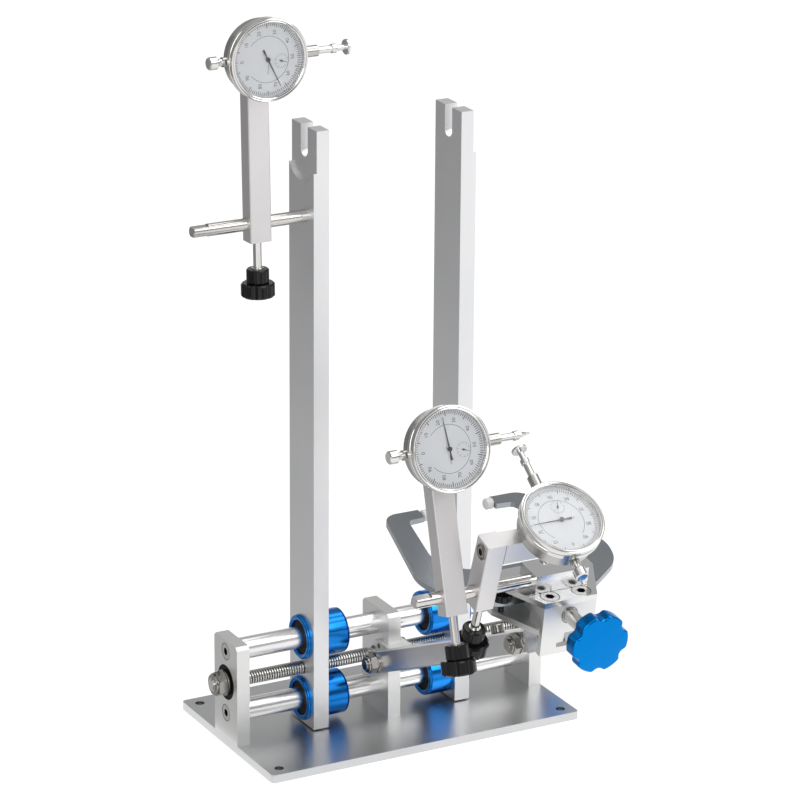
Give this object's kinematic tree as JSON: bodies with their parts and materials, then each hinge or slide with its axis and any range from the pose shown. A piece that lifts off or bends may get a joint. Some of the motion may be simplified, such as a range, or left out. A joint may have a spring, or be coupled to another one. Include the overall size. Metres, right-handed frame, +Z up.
{
  "type": "bicycle wheel truing stand",
  "caption": "Bench stand for truing bicycle wheels: sliding uprights on guide rods with a lead screw, a swing arm with a follower fork, and dial gauges on arms.",
  "frame": {"origin": "centre of the base plate's underside", "axes": "+X along the guide rods to the right, +Y to the back, +Z up; the swing arm and its head reach towards -Y"},
  "size_m": [0.3023, 0.3888, 0.5399],
  "materials": {
    "satin_aluminium": "satin anodised",
    "light_aluminium": "fine satin",
    "base_aluminium": "brushed",
    "ground_steel": "ground bright",
    "plated_steel": "zinc plated",
    "blue_aluminium": "anodised gloss",
    "blue_knob": "moulded gloss",
    "black_plastic": "moulded",
    "black_seal": "matt",
    "dark_grey_plate": "satin",
    "white_plastic": "plain",
    "bezel_chrome": "bright",
    "clear_glass": "clear",
    "needle_black": "matt"
  },
  "bodies": {
    "base": {"base_plate": "base_aluminium", "left_end_plate": "satin_aluminium", "middle_plate": "satin_aluminium", "right_end_plate": "satin_aluminium", "guide_rods": "ground_steel", "guide_rod_screws": "plated_steel", "lead_screw_bearings": "black_seal", "plate_foot_screws": "plated_steel", "hinge_block": "satin_aluminium", "hinge_block_screws": "plated_steel"},
    "left_slide": {"left_upright": "satin_aluminium", "left_bearing_housings": "blue_aluminium", "left_linear_bearings": "black_seal", "upper_gauge_rod": "ground_steel"},
    "right_slide": {"right_upright": "satin_aluminium", "right_bearing_housings": "blue_aluminium", "right_linear_bearings": "black_seal"},
    "lead": {"lead_screw": "ground_steel", "lead_screw_nut": "plated_steel", "lead_screw_knob": "blue_knob"},
    "swing": {"swing_arm": "satin_aluminium", "rear_pivot_bolt": "plated_steel", "front_pivot_bolt": "plated_steel", "swing_arm_screw": "plated_steel"},
    "head": {"head_front_block": "satin_aluminium", "head_top_plate": "light_aluminium", "head_lower_plate": "satin_aluminium", "head_tongue": "satin_aluminium", "head_screws": "plated_steel"},
    "feed": {"feed_screw": "ground_steel", "feed_knob": "blue_knob"},
    "carriage": {"carriage_block": "satin_aluminium", "rod_block": "satin_aluminium", "head_gauge_rod": "ground_steel", "follower_fork": "dark_grey_plate", "fork_tips": "white_plastic", "carriage_screws": "plated_steel"},
    "thumb": {"fork_thumb_screw": "black_plastic"},
    "upper_arm": {"upper_gauge_arm": "light_aluminium", "upper_gauge_case": "bezel_chrome"},
    "middle_arm": {"middle_gauge_arm": "light_aluminium", "middle_gauge_case": "bezel_chrome"},
    "cranked_arm": {"cranked_gauge_arm": "light_aluminium", "cranked_arm_crossbar": "light_aluminium", "cranked_gauge_case": "bezel_chrome"},
    "upper_knob": {"upper_arm_knob": "black_plastic"},
    "upper_bezel": {"upper_gauge_bezel": "bezel_chrome", "upper_gauge_crystal": "clear_glass"},
    "upper_plunger": {"upper_gauge_plunger": "bezel_chrome"},
    "upper_needle": {"upper_gauge_needle": "needle_black"},
    "middle_knob": {"middle_arm_knob": "black_plastic"},
    "middle_bezel": {"middle_gauge_bezel": "bezel_chrome", "middle_gauge_crystal": "clear_glass"},
    "middle_plunger": {"middle_gauge_plunger": "bezel_chrome"},
    "middle_needle": {"middle_gauge_needle": "needle_black"},
    "cranked_knob": {"cranked_arm_knob": "black_plastic"},
    "cranked_bezel": {"cranked_gauge_bezel": "bezel_chrome", "cranked_gauge_crystal": "clear_glass"},
    "cranked_plunger": {"cranked_gauge_plunger": "bezel_chrome"},
    "cranked_needle": {"cranked_gauge_needle": "needle_black"}
  },
  "joints": [
    {"name": "left_slide_x", "type": "slide", "parent": "base", "child": "left_slide", "axis": [1, 0, 0], "range_m": [-0.045, 0.02]},
    {"name": "right_slide_x", "type": "slide", "parent": "base", "child": "right_slide", "axis": [-1, 0, 0], "range_m": [-0.0451, 0.0201]},
    {"name": "lead_turn", "type": "hinge", "parent": "base", "child": "lead", "pos_m": [0, 0, 0.0493], "axis": [1, 0, 0], "range_deg": [-8110, 3610]},
    {"name": "arm_swing", "type": "hinge", "parent": "base", "child": "swing", "pos_m": [0, -0.032, 0.0563], "axis": [-1, 0, 0], "range_deg": [-22, 25]},
    {"name": "head_tilt", "type": "hinge", "parent": "swing", "child": "head", "pos_m": [0, -0.23663, 0.14741], "axis": [1, 0, 0], "range_deg": [-35, 20]},
    {"name": "carriage_slide", "type": "slide", "parent": "head", "child": "carriage", "axis": [0, 0.9885, 0.1513], "range_m": [-0.006, 0.012]},
    {"name": "feed_turn", "type": "hinge", "parent": "head", "child": "feed", "pos_m": [0, -0.24155, 0.1795], "axis": [0, 0.9885, 0.1513], "range_deg": [-2170, 1090]},
    {"name": "thumb_turn", "type": "hinge", "parent": "carriage", "child": "thumb", "pos_m": [-0.0335, -0.23509, 0.17698], "axis": [0, -0.1513, 0.9885], "range_deg": [0, 360]},
    {"name": "upper_arm_swivel", "type": "hinge", "parent": "left_slide", "child": "upper_arm", "pos_m": [-0.1015, -0.0058, 0.3906], "axis": [1, 0, 0], "range_deg": [-35, 60]},
    {"name": "upper_knob_turn", "type": "hinge", "parent": "upper_arm", "child": "upper_knob", "pos_m": [-0.1015, -0.0058, 0.3906], "axis": [0, 0.0349, 0.9994], "range_deg": [-360, 0]},
    {"name": "middle_arm_swivel", "type": "hinge", "parent": "carriage", "child": "middle_arm", "pos_m": [-0.0806, -0.25004, 0.19736], "axis": [1, 0, 0], "range_deg": [-40, 60]},
    {"name": "middle_knob_turn", "type": "hinge", "parent": "middle_arm", "child": "middle_knob", "pos_m": [-0.0806, -0.25004, 0.19736], "axis": [0, 0.2588, 0.9659], "range_deg": [-360, 0]},
    {"name": "cranked_arm_swivel", "type": "hinge", "parent": "carriage", "child": "cranked_arm", "pos_m": [-0.0563, -0.25004, 0.19736], "axis": [1, 0, 0], "range_deg": [-35, 25]},
    {"name": "cranked_knob_turn", "type": "hinge", "parent": "cranked_arm", "child": "cranked_knob", "pos_m": [-0.0563, -0.25004, 0.19736], "axis": [0, -0.3173, 0.9483], "range_deg": [-360, 0]},
    {"name": "upper_bezel_turn", "type": "hinge", "parent": "upper_arm", "child": "upper_bezel", "pos_m": [-0.1015, -0.02791, 0.51095], "axis": [0, -0.9994, 0.0349], "continuous": true},
    {"name": "upper_plunger_slide", "type": "slide", "parent": "upper_arm", "child": "upper_plunger", "axis": [1, 0, 0], "range_m": [-0.01, 0], "stiffness_N_per_m": 80, "springref_m": 0.01},
    {"name": "upper_needle_turn", "type": "hinge", "parent": "upper_arm", "child": "upper_needle", "pos_m": [-0.1015, -0.02791, 0.51095], "axis": [0, -0.9994, 0.0349], "range_deg": [-3610, 1]},
    {"name": "middle_bezel_turn", "type": "hinge", "parent": "middle_arm", "child": "middle_bezel", "pos_m": [-0.0806, -0.24982, 0.29979], "axis": [0, -0.9659, 0.2588], "continuous": true},
    {"name": "middle_plunger_slide", "type": "slide", "parent": "middle_arm", "child": "middle_plunger", "axis": [1, 0, 0], "range_m": [-0.01, 0], "stiffness_N_per_m": 80, "springref_m": 0.01},
    {"name": "middle_needle_turn", "type": "hinge", "parent": "middle_arm", "child": "middle_needle", "pos_m": [-0.0806, -0.24982, 0.29979], "axis": [0, -0.9659, 0.2588], "range_deg": [-3610, 1]},
    {"name": "cranked_bezel_turn", "type": "hinge", "parent": "cranked_arm", "child": "cranked_bezel", "pos_m": [-0.01375, -0.28056, 0.2517], "axis": [0, -0.5807, 0.8141], "continuous": true},
    {"name": "cranked_plunger_slide", "type": "slide", "parent": "cranked_arm", "child": "cranked_plunger", "axis": [0, 0.8141, 0.5807], "range_m": [-0.01, 0], "stiffness_N_per_m": 80, "springref_m": 0.01},
    {"name": "cranked_needle_turn", "type": "hinge", "parent": "cranked_arm", "child": "cranked_needle", "pos_m": [-0.01375, -0.28056, 0.2517], "axis": [0, -0.5807, 0.8141], "range_deg": [-3610, 1]}
  ],
  "couplings": [
    {"joint": "right_slide_x", "follows": "left_slide_x", "ratio": 1},
    {"joint": "lead_turn", "follows": "left_slide_x", "rad_per_m": 3141.6},
    {"joint": "feed_turn", "follows": "carriage_slide", "rad_per_m": -3141.6},
    {"joint": "upper_needle_turn", "follows": "upper_plunger_slide", "rad_per_m": 6283.2},
    {"joint": "middle_needle_turn", "follows": "middle_plunger_slide", "rad_per_m": 6283.2},
    {"joint": "cranked_needle_turn", "follows": "cranked_plunger_slide", "rad_per_m": 6283.2}
  ]
}
